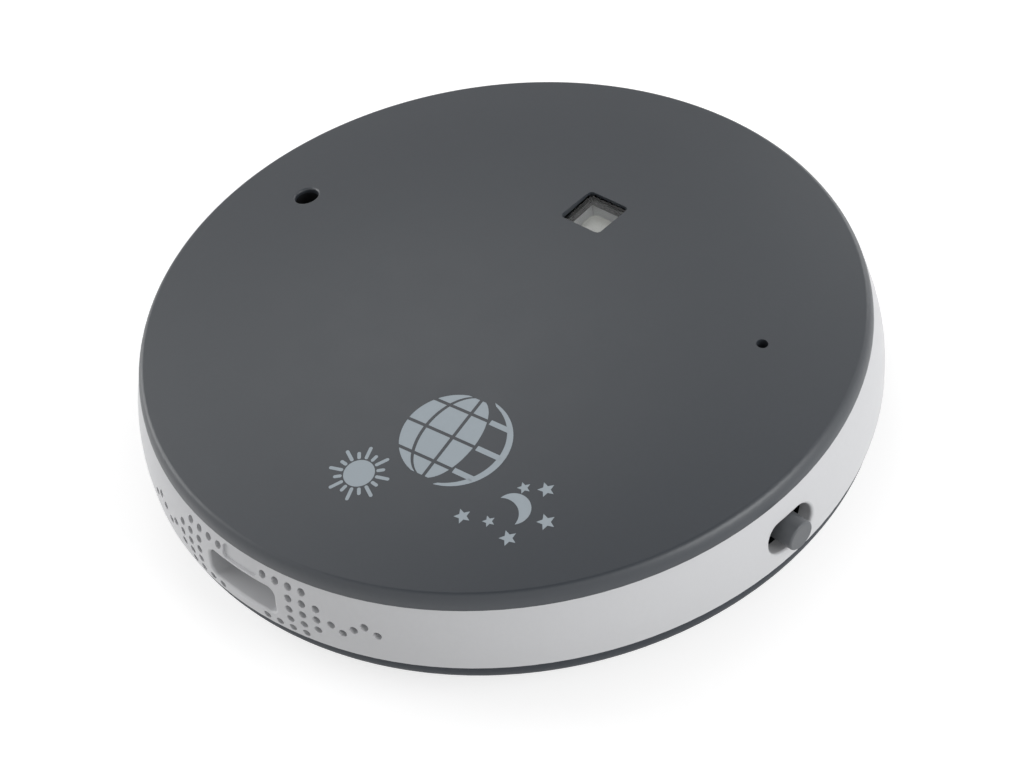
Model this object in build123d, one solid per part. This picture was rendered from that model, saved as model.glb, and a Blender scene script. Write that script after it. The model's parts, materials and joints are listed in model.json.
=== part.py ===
from build123d import *
from math import cos, radians, sin, sqrt
import os

# A round bed shaker alarm clock: a domed dark top cover, a light ring and a dished dark bottom
# cover, round a shaker motor, two cells, a speaker and the clock's boards. Millimetres.
# The origin is under the centre, on the plane that the feet stand on, with +Z up.
# The sound outlet faces -Y and the slide switch is near +X.

# Casing
ring_radius = 49.85
ring_taper = 1.6
ring_height = 8.95
ring_straight = 1.55
shoulder_height = 2.2
shoulder_inset = 1.0
shoulder_round_share = 0.55
dome_radius = 328.0
base_depth = 7.15
base_turn = 11.5
rim_straight = 0.55
rim_step = 0.25
shut_line = 0.2
shut_depth = 0.45
wall = 2.0
lip_depth = 0.95
lip_wall = 1.2
lip_clearance = 0.15
overrun = 1.0

# Sound outlet and its perforations, on the front of the ring
outlet_width = 11.4
outlet_height = 4.2
outlet_corner = 1.2
outlet_flare = 0.3
outlet_drop = 4.95
outlet_reach = 6.1
duct_wall = 0.8
duct_root = 1.4
relief_width = 6.0
relief_height = 1.9
relief_depth = 0.35
relief_drop = 1.35
hole_radius = 0.55
hole_row_pitch = 1.665
hole_first_drop = 1.33
hole_column_pitch = 1.99
hole_columns = ((2, 5), (4, 6), (4, 7), (4, 6), (2, 5))
wave_shares = ((7.75, 2.5), (8.53, 1.9), (9.26, 1.4), (10.06, 1.95))

# Slide switch, at the right of the ring
switch_angle = -5.85
switch_slot_length = 7.7
switch_slot_height = 4.45
switch_flare = 0.35
switch_drop = 4.8
knob_radius = 2.0
knob_proud = 1.25
knob_edge = 0.3
knob_travel = 1.6
shutter_length = 12.0
shutter_height = 5.2
shutter_wall = 0.8
shutter_gap = 1.5
knob_back = 1.4
lever_width = 2.0
lever_bite = 1.3
switch_length = 11.0
switch_depth = 4.6
switch_wall = 0.3
switch_base = 1.4
switch_reach = 1.6

# Flash window, on the top
window_x = 1.45
window_y = 18.6
window_size = 6.6
window_corner = 0.7
window_sink = 0.55
lens_clearance = 0.1
lens_thickness = 1.2
lens_face = 0.55
lens_skirt = 0.45
lens_flange = 0.8
lens_flange_wall = 0.5
reflector_wall = 0.6
reflector_throat = 4.8
led_length = 4.2
led_width = 4.2
led_height = 3.0

# Light sensor and reset hole, on the top
sensor_inset = 13.75
sensor_angle = 179.3
sensor_hole_radius = 1.7
sensor_flare = 0.3
sensor_tube_radius = 2.6
sensor_tube_wall = 0.6
sensor_skin = 0.9
sensor_size = 2.0
sensor_height = 0.9
reset_inset = 14.35
reset_angle = 19.25
reset_hole_radius = 0.75
reset_case_size = 4.5
reset_case_height = 1.5
reset_plunger_radius = 0.95
reset_travel = 0.25
reset_proud = 0.5
plunger_clearance = 0.06

# Main board
board_thickness = 1.2
board_inset = 5.85
board_drop = 2.1
board_clearance = 0.5
standoff_radius = 2.4
standoff_rear_inset = 15.0
standoff_front_inset = 9.75
standoff_rear_angle = 50.8
standoff_front_angle = 56.7
board_screw_radius = 0.9
board_screw_head_radius = 1.8
board_screw_head = 1.2
board_screw_bite = 1.6

# Case screws, their posts and bosses
screw_inset = 9.85
screw_angles = (30, 150, 210, 330)
post_radius = 3.1
boss_radius = 2.8
post_top_z = 9.0
screw_radius = 1.1
screw_head_radius = 1.9
screw_head = 1.5
screw_seat = 0.9
screw_bite = 5.0
screw_clearance = 0.15
thread_clearance = 0.03
recess_share = 1.1

# Cells and their bay, reached from underneath
cell_radius = 5.25
cell_length = 44.5
cell_nub_radius = 1.9
cell_nub = 0.8
cell_clearance = 0.3
bay_y = -19.2
bay_wall = 1.2
bay_roof = 0.8
contact_space = 1.8
contact_size = 8.0
contact_thickness = 0.3
bump_radius = 2.6
bump_tip_radius = 1.4
tail_width = 2.0
door_thickness = 1.6
door_clearance = 0.2
door_rib = 0.6
door_rib_width = 1.2
door_tab_width = 6.0
door_tab_reach = 0.9
door_tab_thickness = 0.7
door_tab_x = 14.0
door_ear_radius = 3.0
door_ear_y = -34.6
door_screw_radius = 0.8
door_screw_head_radius = 1.6
door_screw_head = 0.8
door_screw_sink = 0.2
door_screw_bite = 4.0
door_boss_radius = 2.2

# Feet
foot_proud = 0.6
foot_radius = 2.6
foot_sink = 0.6
foot_inset = 15.3
foot_angles = (45, -27.7, 135, 207.7)
foot_edge = 0.3

# Display and its board, above the floor
display_y = 18.8
lens_length = 40.0
lens_width = 14.0
display_lens = 1.0
lens_lap = 1.5
lens_round = 1.5
glass_length = 39.0
glass_width = 15.0
glass_thickness = 1.3
light_thickness = 1.4
holder_wall = 1.0
strip_width = 1.4
strip_height = 1.5
display_board_thickness = 1.0
display_board_front = 10.3
display_board_rear = 36.0
display_board_length = 46.0
display_post_radius = 1.8
display_post_x = 20.8
display_post_y = 33.2
display_screw_radius = 0.7
display_screw_head_radius = 1.5
display_screw_head = 0.9
display_screw_bite = 3.0
link_length = 10.0
link_width = 2.4
link_x = 8.0
link_y = 31.5
pin_size = 0.6
pin_pitch = 2.0
pin_count = 4

# Set keys, underneath
key_count = 4
key_pitch = 9.0
key_y = 30.9
key_radius = 2.5
key_gap = 0.2
key_recess = 0.2
key_edge = 0.25
key_dish = 0.25
key_dish_radius = 7.0
key_flange_radius = 3.3
key_flange = 0.7
key_float = 0.05
key_stem_radius = 1.0
key_stem_gap = 0.15
key_travel = 0.5
key_bite = 0.5
key_switch_size = 5.6

# Shaker motor, lying along X
motor_y = 1.5
motor_z = 10.7
can_radius = 6.5
can_length = 22.0
can_wall = 0.7
can_front_x = -2.5
nose_radius = 2.6
nose_length = 1.0
bush_radius = 1.7
bush_length = 1.6
shaft_radius = 1.0
running_clearance = 0.04
cap_thickness = 2.0
magnet_wall = 1.3
magnet_sweep = 130
armature_radius = 3.9
armature_length = 12.0
armature_slot = 1.1
armature_slots = 3
armature_hub_share = 0.5
weight_radius = 7.0
weight_length = 8.5
weight_gap = 1.0
weight_hub_radius = 2.4
bearing_x = 13.4
bearing_wall = 2.2
bearing_width = 9.0
end_bush_radius = 2.2
sleeve_wall = 0.8
saddle_length = 17.0
saddle_wall = 1.1
clamp_wall = 0.8
clamp_length = 8.0

# Speaker, upright behind the sound outlet
speaker_length = 18.0
speaker_height = 9.4
speaker_depth = 4.0
speaker_wall = 0.8
speaker_gasket = 0.5
gasket_wall = 1.2
cone_thickness = 0.35
cone_dish = 0.5
magnet_length = 10.0
magnet_height = 5.4
magnet_depth = 2.2
cradle_wall = 1.0
cradle_lap = 1.6

# Parts on the main board
chip_size = 8.0
chip_height = 1.0
chip_x = 24.0
chip_y = -8.0
leg_length = 0.8
leg_width = 0.3
leg_height = 0.4
leg_pitch = 1.0
legs_per_side = 7
driver_length = 5.0
driver_width = 4.0
driver_x = -12.0
driver_y = 16.0
crystal_length = 6.0
crystal_radius = 1.0
crystal_x = 33.5
crystal_y = -7.0
capacitor_radius = 1.6
capacitor_height = 1.6
capacitor_spots = ((14.0, -14.0), (14.0, -20.0), (-18.0, -12.0))

# Leads
lead_radius = 0.5
lead_bend = 1.2
lead_spread = 5.0
lead_run = 2.2

# Levels and radii that follow
cover_radius = ring_radius - ring_taper
board_radius = ring_radius - board_inset
screw_circle = ring_radius - screw_inset
base_z = foot_proud
floor_z = base_z + wall
foot_z = base_z + base_depth
seam_z = foot_z + ring_height
shoulder_z = seam_z + shoulder_height
dome_edge_radius = cover_radius - shoulder_inset
dome_centre_z = shoulder_z - sqrt(dome_radius**2 - dome_edge_radius**2)
rim_radius = ring_radius - rim_step
flat_radius = rim_radius - base_turn
top_lip_radius = cover_radius - wall - lip_clearance
top_lip_inner = top_lip_radius - lip_wall
bottom_lip_radius = ring_radius - wall - lip_clearance
bottom_lip_inner = bottom_lip_radius - lip_wall
board_top_z = seam_z - board_drop + board_thickness
board_low_z = board_top_z - board_thickness

MID = (Align.CENTER, Align.CENTER, Align.MIN)


def dome_z(radius):
    return dome_centre_z + sqrt(dome_radius**2 - radius**2)


def ceiling_z(radius):
    return dome_centre_z + sqrt((dome_radius - wall) ** 2 - radius**2)


def reach(x, y):
    return sqrt(x**2 + y**2)


def disc(radius, low, high, x=0, y=0):
    return Pos(x, y, low) * Cylinder(radius, high - low, align=MID)


def tube(outer, inner, low, high, x=0, y=0):
    bore = disc(inner, low - overrun, high + overrun, x, y)
    return disc(outer, low, high, x, y) - bore


def slab(length, width, low, high, x=0, y=0, corner=0):
    if not corner:
        return Pos(x, y, low) * Box(length, width, high - low, align=MID)
    return Pos(x, y, low) * extrude(RectangleRounded(length, width, corner), high - low)


def rod(radius, x_low, x_high, y, z):
    bar = Cylinder(radius, x_high - x_low, align=MID)
    return Pos(x_low, y, z) * Rot(0, 90, 0) * bar


def turned(*edges):
    return revolve(Plane.XZ * make_face(edges), Axis.Z)


def outward(shape, angle):
    # Turns a shape built along +X to face the given direction.
    return Rot(0, 0, angle) * shape


def joined(shapes):
    shapes = list(shapes)
    return shapes[0] + shapes[1:] if len(shapes) > 1 else shapes[0]


def write(name, shape):
    solids = shape.solids()
    whole = solids[0] if len(solids) == 1 else Compound(children=list(solids))
    whole.label = name
    export_step(whole, f"parts/{name}.step")


def lead(points):
    # A round lead along straight runs with rounded corners.
    path = FilletPolyline(*points, radius=lead_bend)
    start = Plane(origin=path @ 0, z_dir=path % 0)
    return sweep(start * Circle(lead_radius), path=path)


def screw(x, y, radius, seat, tip, head_radius, head):
    # A cross-headed screw. Its head lies on the side of the seat that is away from the tip.
    top = seat - head if tip > seat else seat + head
    shank = disc(radius, min(seat, tip), max(seat, tip), x, y)
    cap = disc(head_radius, min(seat, top), max(seat, top), x, y)
    across = head_radius * recess_share
    blades = [
        Pos(x, y, top) * Box(length, width, head, align=(Align.CENTER,) * 3)
        for length, width in ((across, across / 3), (across / 3, across))
    ]
    return shank + (cap - blades)


def place(inset, angle):
    # A place that lies the given distance inside the ring's widest circle.
    radius = ring_radius - inset
    return radius * cos(radians(angle)), radius * sin(radians(angle))


def screw_places():
    return [place(screw_inset, angle) for angle in screw_angles]


def board_screw_places():
    rear = [place(standoff_rear_inset, 90 + side * (90 - standoff_rear_angle)) for side in (-1, 1)]
    front = [place(standoff_front_inset, side * (90 - standoff_front_angle) - 90) for side in (-1, 1)]
    return rear + front


def foot_places():
    return [place(foot_inset, angle) for angle in foot_angles]


# Top cover
def shoulder():
    # The rounded edge, from the seam up to the dome and tangent to it.
    fall = dome_edge_radius / dome_radius
    along = shoulder_round_share * shoulder_inset
    low_handle = (cover_radius, seam_z + shoulder_round_share * shoulder_height)
    high_handle = (dome_edge_radius + along * sqrt(1 - fall**2), shoulder_z - along * fall)
    return Bezier((cover_radius, seam_z), low_handle, high_handle, (dome_edge_radius, shoulder_z))


def top_envelope():
    half = dome_edge_radius / 2
    return turned(
        Line((0, seam_z), (cover_radius, seam_z)),
        shoulder(),
        ThreePointArc((dome_edge_radius, shoulder_z), (half, dome_z(half)), (0, dome_z(0))),
        Line((0, dome_z(0)), (0, seam_z)),
    )


def top_cavity():
    low = seam_z - lip_depth - overrun
    half = top_lip_inner / 2
    return turned(
        Line((0, low), (top_lip_inner, low)),
        Line((top_lip_inner, low), (top_lip_inner, ceiling_z(top_lip_inner))),
        ThreePointArc(
            (top_lip_inner, ceiling_z(top_lip_inner)), (half, ceiling_z(half)), (0, ceiling_z(0))
        ),
        Line((0, ceiling_z(0)), (0, low)),
    )


sensor_x, sensor_y = place(sensor_inset, sensor_angle)
reset_x, reset_y = place(reset_inset, reset_angle)
sensor_top_z = dome_z(ring_radius - sensor_inset)
sensor_mouth_z = sensor_top_z - sensor_skin
lens_top_z = dome_z(reach(window_x, window_y)) - window_sink
lens_low_z = lens_top_z - lens_thickness
clamp_top_z = motor_z + can_radius + sleeve_wall + clamp_wall


def sensor_mouth(shell):
    # Cuts the sensor's hole and rounds its edge.
    shell = shell - disc(sensor_hole_radius, floor_z, dome_z(0) + overrun, sensor_x, sensor_y)
    spot = Vector(sensor_x, sensor_y, sensor_top_z)
    edge = min(shell.edges(), key=lambda item: (item.center() - spot).length)
    return fillet(edge, sensor_flare)


def top_cover():
    lip = tube(top_lip_radius, top_lip_inner, seam_z - lip_depth, seam_z)
    shell = sensor_mouth(top_envelope() + lip - top_cavity())
    grown = []
    for x, y in screw_places():
        grown.append(disc(boss_radius, post_top_z, dome_z(screw_circle) - wall / 2, x, y))
    for x, y in board_screw_places():
        high = dome_z(reach(x, y)) - wall / 2
        grown.append(disc(standoff_radius, board_top_z, high, x, y))
    pad_x = can_front_x - can_length / 2
    pad_high = dome_z(reach(pad_x, motor_y)) - wall / 2
    grown.append(slab(clamp_length, clamp_length, clamp_top_z, pad_high, pad_x, motor_y))
    shell = shell + grown
    tube_seat = sensor_tube_radius + lip_clearance
    cuts = [disc(tube_seat, floor_z, sensor_mouth_z, sensor_x, sensor_y)]
    for x, y in screw_places():
        depth = post_top_z + screw_bite + screw_clearance
        cuts.append(disc(screw_radius + thread_clearance, post_top_z - overrun, depth, x, y))
    for x, y in board_screw_places():
        depth = board_top_z + board_screw_bite + screw_clearance
        hole = board_screw_radius + thread_clearance
        cuts.append(disc(hole, board_top_z - overrun, depth, x, y))
    high = dome_z(0) + overrun
    cuts.append(slab(window_size, window_size, lens_low_z, high, window_x, window_y, window_corner))
    seat = window_size + 2 * (lens_flange + lens_clearance)
    cuts.append(slab(seat, seat, board_top_z, lens_low_z, window_x, window_y, window_corner))
    cuts.append(disc(reset_hole_radius, board_top_z, high, reset_x, reset_y))
    return shell - cuts


# Ring
def ring_core(inset):
    outer = ring_radius - inset
    turn = (outer, foot_z + ring_straight)
    crown = (cover_radius - inset, seam_z)
    return turned(
        Line((0, foot_z), (outer, foot_z)),
        Line((outer, foot_z), turn),
        TangentArc(turn, crown, tangent=(0, 1)),
        Line(crown, (0, seam_z)),
        Line((0, seam_z), (0, foot_z)),
    )


outlet_z = seam_z - outlet_drop
outlet_back_y = -(ring_radius - outlet_reach)
switch_z = seam_z - switch_drop


def outlet_prism(growth, y_low, y_high):
    face = RectangleRounded(
        outlet_width + 2 * growth, outlet_height + 2 * growth, outlet_corner + growth
    )
    return Pos(0, y_high, outlet_z) * extrude(Plane.XZ * face, y_high - y_low)


def hole_places():
    # Azimuth from the outlet's middle, and height, of each perforation on one side.
    for row, (first, last) in enumerate(hole_columns):
        for column in range(first, last + 1):
            yield column * hole_column_pitch, seam_z - hole_first_drop - row * hole_row_pitch
    for column, row in wave_shares:
        yield column * hole_column_pitch, seam_z - hole_first_drop - row * hole_row_pitch


def perforations():
    drill = rod(hole_radius, ring_radius - 2 * wall, ring_radius + overrun, 0, 0)
    for arc, z in hole_places():
        sweep_angle = arc / ring_radius / radians(1)
        for side in (-1, 1):
            yield outward(Pos(0, 0, z) * drill, side * sweep_angle - 90)


def flared(shell, spot, span, flare):
    # Rounds the mouth of an opening whose edges lie on the ring's outside, within the span of a spot.
    outside = ring_radius - wall / 2
    edges = []
    for edge in shell.edges():
        middle = edge.center()
        near = abs(middle.X - spot.X) < span and abs(middle.Y - spot.Y) < span
        if near and reach(middle.X, middle.Y) > outside and foot_z < middle.Z < seam_z:
            edges.append(edge)
    return fillet(edges, flare)


def ring_housing():
    relief_face = RectangleRounded(relief_width, relief_height, relief_height / 3)
    relief = Pos(0, outlet_back_y, seam_z - relief_drop) * extrude(
        Plane.XZ * relief_face, 2 * outlet_reach
    )
    relief = relief - ring_core(relief_depth)
    duct = outlet_prism(duct_wall, duct_root - ring_radius, outlet_back_y)
    slot = SlotOverall(switch_slot_length, switch_slot_height)
    opening = Pos(cover_radius - 2 * wall, 0, switch_z) * extrude(Plane.YZ * slot, 3 * wall)
    hollow = outlet_prism(0, -ring_radius - overrun, outlet_back_y + overrun)
    shell = ring_core(0) - ring_core(wall) + duct - hollow
    shell = flared(shell, Vector(0, -ring_radius), outlet_width, outlet_flare)
    shell = shell - outward(opening, switch_angle)
    shell = flared(shell, Vector(*place(0, switch_angle)), switch_slot_length, switch_flare)
    return shell - relief - list(perforations())


# Bottom cover
def base_envelope(inset):
    # The dished base, or its hollow when inset is the wall.
    across, down = base_turn - inset, base_depth - rim_straight - inset
    high = seam_z if inset else foot_z
    turn_z = foot_z - rim_straight
    radius = flat_radius + across
    return turned(
        Line((0, turn_z - down), (flat_radius, turn_z - down)),
        EllipticalCenterArc((flat_radius, turn_z), across, down, start_angle=270),
        Line((radius, turn_z), (radius, high)),
        Line((radius, high), (0, high)),
        Line((0, high), (0, turn_z - down)),
    )


def base_limit():
    # Everything that the bottom cover's posts and ribs may fill.
    return base_envelope(0) + disc(bottom_lip_inner, foot_z - rim_straight, seam_z)


cell_z = floor_z + cell_clearance + cell_radius
cell_pitch = 2 * cell_radius + cell_clearance
bay_length = cell_length + 2 * contact_space
bay_width = cell_pitch + 2 * (cell_radius + cell_clearance)
bay_roof_z = cell_z + cell_radius + cell_clearance
key_places = [(key_pitch * (i - (key_count - 1) / 2), key_y) for i in range(key_count)]
saddle_radius = can_radius + sleeve_wall
saddle_x = can_front_x - can_length / 2
saddle_width = 2 * (saddle_radius + saddle_wall)
speaker_front_y = outlet_back_y + speaker_gasket
speaker_back_y = speaker_front_y + speaker_depth
speaker_low_z = outlet_z - speaker_height / 2


def shut_gap():
    # A thin dark line between the ring and the rim of the bottom cover.
    return tube(rim_radius + overrun, rim_radius - shut_depth, foot_z - shut_line, foot_z)


def base_lip():
    low = foot_z - lip_depth
    root = tube(rim_radius - wall / 2, bottom_lip_inner, low, foot_z) & base_envelope(0)
    return root + tube(bottom_lip_radius, bottom_lip_inner, low, foot_z + lip_depth)


def bay_shell():
    length, width = bay_length + 2 * bay_wall, bay_width + 2 * bay_wall
    return slab(length, width, base_z, bay_roof_z + bay_roof, y=bay_y)


def bay_cuts():
    inside = slab(bay_length, bay_width, base_z - overrun, bay_roof_z, y=bay_y)
    door_high = base_z + door_thickness + door_clearance
    ear = disc(door_ear_radius + door_clearance, base_z - overrun, door_high, y=door_ear_y)
    neck_front = door_ear_y
    neck_back = bay_y - bay_width / 2 + overrun
    neck = slab(
        2 * (door_ear_radius + door_clearance),
        neck_back - neck_front,
        base_z - overrun,
        door_high,
        y=(neck_front + neck_back) / 2,
    )
    depth = door_high + door_screw_bite + screw_clearance
    pilot = disc(door_screw_radius + thread_clearance, base_z, depth, y=door_ear_y)
    tabs = [
        slab(
            door_tab_width + 2 * door_clearance,
            2 * (door_tab_reach + door_clearance),
            base_z + door_thickness - door_tab_thickness - door_clearance,
            door_high,
            side * door_tab_x,
            bay_y + bay_width / 2,
        )
        for side in (-1, 1)
    ]
    slots = [
        slab(
            contact_thickness + 2 * door_clearance,
            tail_width + 2 * door_clearance,
            bay_roof_z - overrun,
            bay_roof_z + bay_roof + overrun,
            side * (bay_length / 2 - contact_thickness / 2),
            bay_y + row * cell_pitch / 2,
        )
        for side in (-1, 1)
        for row in (-1, 1)
    ]
    return [inside, ear, neck, pilot] + tabs + slots


def door_boss():
    high = base_z + door_thickness + door_screw_bite + wall
    return disc(door_boss_radius, base_z, high, y=door_ear_y)


def display_post_places():
    for side in (-1, 1):
        yield side * display_post_x, display_post_y


def saddle():
    block = slab(saddle_length, saddle_width, base_z, motor_z, saddle_x, motor_y)
    far = saddle_x + saddle_length / 2 + overrun
    near = saddle_x - saddle_length / 2 - overrun
    return block - rod(saddle_radius, near, far, motor_y, motor_z)


def bearing_stand():
    high = motor_z + end_bush_radius + wall
    stand = slab(bearing_wall, bearing_width, base_z, high, bearing_x, motor_y)
    far = bearing_x + bearing_wall
    near = bearing_x - bearing_wall
    return stand - rod(end_bush_radius + thread_clearance, near, far, motor_y, motor_z)


def speaker_cradle():
    length = speaker_length + 2 * (cradle_wall + lip_clearance)
    depth = speaker_depth + cradle_wall
    high = speaker_low_z + cradle_lap
    block = slab(length, depth, base_z, high, y=speaker_front_y + depth / 2)
    room = slab(
        speaker_length + 2 * lip_clearance,
        speaker_depth + lip_clearance,
        speaker_low_z,
        seam_z,
        y=speaker_front_y + (speaker_depth + lip_clearance) / 2,
    )
    front = slab(length + overrun, cradle_wall, outlet_z - outlet_height, seam_z, y=outlet_back_y)
    return block - room - front


def bottom_cover():
    limit = base_limit()
    shell = base_envelope(0) - base_envelope(wall) + base_lip()
    grown = [bay_shell(), saddle(), bearing_stand(), speaker_cradle()]
    grown += [disc(post_radius, base_z, post_top_z, x, y) for x, y in screw_places()]
    grown.append(door_boss())
    for x, y in display_post_places():
        grown.append(disc(display_post_radius, base_z, display_board_z, x, y))
    shell = shell + [part & limit for part in grown]
    cuts = bay_cuts() + [shut_gap()]
    for x, y in screw_places():
        cuts.append(disc(screw_radius + screw_clearance, base_z, post_top_z + overrun, x, y))
        head = screw_head_radius + screw_clearance
        cuts.append(disc(head, base_z - overrun, floor_z + screw_seat, x, y))
    for x, y in display_post_places():
        low = display_board_z - display_screw_bite - screw_clearance
        hole = display_screw_radius + thread_clearance
        cuts.append(disc(hole, low, display_board_z + overrun, x, y))
    for x, y in foot_places():
        cuts.append(disc(foot_radius + thread_clearance, base_z - overrun, base_z + foot_sink, x, y))
    for x, y in key_places:
        cuts.append(disc(key_radius + key_gap, base_z - overrun, floor_z + overrun / 2, x, y))
    see_length, see_width = lens_length - 2 * lens_lap, lens_width - 2 * lens_lap
    cuts.append(slab(see_length, see_width, base_z, floor_z + overrun / 2, y=display_y))
    rebate_high = base_z + display_lens
    cuts.append(
        slab(
            lens_length + 2 * lens_clearance,
            lens_width + 2 * lens_clearance,
            base_z - overrun,
            rebate_high,
            y=display_y,
            corner=lens_round,
        )
    )
    return shell - cuts


# Flash window
def flash_lens():
    size = window_size - 2 * lens_clearance
    body = slab(size, size, lens_low_z, lens_top_z, window_x, window_y, window_corner)
    wide = size + 2 * lens_flange
    low = lens_low_z - lens_flange_wall
    body = body + slab(wide, wide, low, lens_low_z, window_x, window_y, window_corner)
    inside = size - 2 * lens_skirt
    return body - slab(inside, inside, low, lens_top_z - lens_face, window_x, window_y)


def flash_reflector():
    high = lens_low_z - lens_flange_wall
    outer = window_size + 2 * lens_flange - 2 * lens_clearance
    block = slab(outer, outer, board_top_z, high, window_x, window_y, window_corner)
    mouth = Rectangle(outer - 2 * reflector_wall, outer - 2 * reflector_wall)
    throat = Rectangle(reflector_throat, reflector_throat)
    cup = loft([Plane.XY.offset(board_top_z) * throat, Plane.XY.offset(high) * mouth])
    return block - Pos(window_x, window_y, 0) * cup


def flash_led():
    body = slab(led_length, led_width, board_top_z, board_top_z + led_height, window_x, window_y)
    return fillet(body.edges().filter_by(Axis.Z), led_height / 3)


# Light sensor and reset switch
def sensor_tube():
    inner = sensor_tube_radius - sensor_tube_wall
    return tube(sensor_tube_radius, inner, board_top_z, sensor_mouth_z, sensor_x, sensor_y)


def light_sensor():
    high = board_top_z + sensor_height
    body = slab(sensor_size, sensor_size, board_top_z, high, sensor_x, sensor_y)
    return chamfer(body.faces().sort_by(Axis.Z)[-1].edges(), sensor_height / 4)


def reset_switch():
    high = board_top_z + reset_case_height
    case = slab(reset_case_size, reset_case_size, board_top_z, high, reset_x, reset_y)
    bore = reset_plunger_radius + plunger_clearance
    return case - disc(bore, board_top_z + reset_case_height / 3, high + overrun, reset_x, reset_y)


def reset_plunger():
    low = board_top_z + reset_case_height / 3 + reset_travel + plunger_clearance
    high = board_top_z + reset_case_height + reset_proud
    return disc(reset_plunger_radius, low, high, reset_x, reset_y)


# Main board and what it carries
motor_cut_x = can_front_x - can_length - cap_thickness - board_clearance


def main_board():
    board = disc(board_radius, board_low_z, board_top_z)
    low, high = board_low_z - overrun, board_top_z + overrun
    cuts = []
    for x, y in screw_places():
        cuts.append(disc(boss_radius + board_clearance, low, high, x, y))
    for x, y in board_screw_places():
        cuts.append(disc(board_screw_radius + screw_clearance, low, high, x, y))
    motor_end = bearing_x + bearing_wall / 2 + board_clearance
    cuts.append(
        slab(
            motor_end - motor_cut_x,
            saddle_width + 2 * board_clearance,
            low,
            high,
            (motor_cut_x + motor_end) / 2,
            motor_y,
        )
    )
    notch_length = speaker_length + 2 * (cradle_wall + lip_clearance + board_clearance)
    notch_back = speaker_back_y + board_clearance
    notch_depth = board_radius + notch_back
    cuts.append(slab(notch_length, notch_depth, low, high, y=notch_back - notch_depth / 2))
    return board - cuts


def board_screws():
    tip = board_top_z + board_screw_bite
    return [
        screw(x, y, board_screw_radius, board_low_z, tip, board_screw_head_radius, board_screw_head)
        for x, y in board_screw_places()
    ]


def processor_chip():
    body = slab(
        chip_size, chip_size, board_top_z + leg_height / 2, board_top_z + chip_height, chip_x, chip_y
    )
    legs = []
    for turn in (0, 90, 180, 270):
        for i in range(legs_per_side):
            along = leg_pitch * (i - (legs_per_side - 1) / 2)
            leg = slab(
                leg_length + leg_height,
                leg_width,
                board_top_z,
                board_top_z + leg_height,
                chip_size / 2 + leg_length / 2,
                along,
            )
            legs.append(Pos(chip_x, chip_y, 0) * Rot(0, 0, turn) * leg)
    return body + legs


def motor_driver():
    high = board_top_z + chip_height
    body = slab(driver_length, driver_width, board_top_z, high, driver_x, driver_y)
    return chamfer(body.faces().sort_by(Axis.Z)[-1].edges(), chip_height / 5)


def clock_crystal():
    middle = board_top_z + crystal_radius
    low, high = crystal_x - crystal_length / 2, crystal_x + crystal_length / 2
    can = rod(crystal_radius, low, high, crystal_y, middle)
    foot = slab(
        crystal_radius, crystal_radius, board_top_z, middle, low + crystal_radius, crystal_y
    )
    return can + foot


def capacitors():
    cans = []
    for x, y in capacitor_spots:
        can = disc(capacitor_radius, board_top_z, board_top_z + capacitor_height, x, y)
        cans.append(fillet(can.faces().sort_by(Axis.Z)[-1].edges(), capacitor_radius / 5))
    return cans


# Slide switch
knob_face_x = ring_radius + knob_proud
shutter_front_x = ring_radius - wall - shutter_gap
shutter_back_x = shutter_front_x - shutter_wall
switch_front_x = shutter_back_x - switch_reach


def slide_knob():
    # The peg, its square shoulder behind the shutter and the lever that enters the switch.
    peg = rod(knob_radius, shutter_back_x, knob_face_x, 0, switch_z)
    peg = fillet(peg.faces().sort_by(Axis.X)[-1].edges(), knob_edge)
    across = 2 * knob_radius
    shoulder = Pos(shutter_back_x - knob_back, 0, switch_z) * extrude(
        Plane.YZ * RectangleRounded(across, across, knob_edge), knob_back
    )
    lever_start = switch_front_x - lever_bite
    lever = Pos(lever_start, 0, switch_z) * extrude(
        Plane.YZ * Rectangle(lever_width, lever_width), shutter_back_x - lever_start
    )
    return outward(peg + shoulder + lever, switch_angle)


def knob_shutter():
    plate = Pos(shutter_back_x, 0, switch_z) * extrude(
        Plane.YZ * RectangleRounded(shutter_length, shutter_height, knob_edge), shutter_wall
    )
    hole = rod(knob_radius, shutter_back_x - overrun, shutter_front_x + overrun, 0, switch_z)
    return outward(plate - hole, switch_angle)


def switch_case():
    # The switch's metal case, hung under the board, with the slot that its lever runs in.
    start = switch_front_x - switch_depth + switch_base
    case = slab(
        switch_front_x - start,
        switch_length,
        2 * switch_z - board_low_z,
        board_low_z,
        (start + switch_front_x) / 2,
    )
    slot_length = lever_width + 2 * (knob_travel + screw_clearance)
    slot_height = lever_width + 2 * screw_clearance
    slot = Pos(switch_front_x - lever_bite - screw_clearance, 0, switch_z) * extrude(
        Plane.YZ * Rectangle(slot_length, slot_height), 2 * lever_bite
    )
    return outward(case - slot, switch_angle)


def switch_foot():
    start = switch_front_x - switch_depth
    foot = slab(
        switch_base,
        switch_length - 2 * switch_wall,
        2 * switch_z - board_low_z + switch_wall,
        board_low_z,
        start + switch_base / 2,
    )
    return outward(foot, switch_angle)


# Cells, contacts and the bay's door
def cell(row):
    y = bay_y + row * cell_pitch / 2
    start = -cell_length / 2
    body = rod(cell_radius, start, -start - cell_nub, y, cell_z)
    body = fillet(body.edges().filter_by(GeomType.CIRCLE), cell_nub / 2)
    nub = rod(cell_nub_radius, -start - cell_nub, -start, y, cell_z)
    whole = body + nub
    return whole if row > 0 else Pos(0, 2 * y, 0) * Rot(0, 0, 180) * whole


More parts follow.
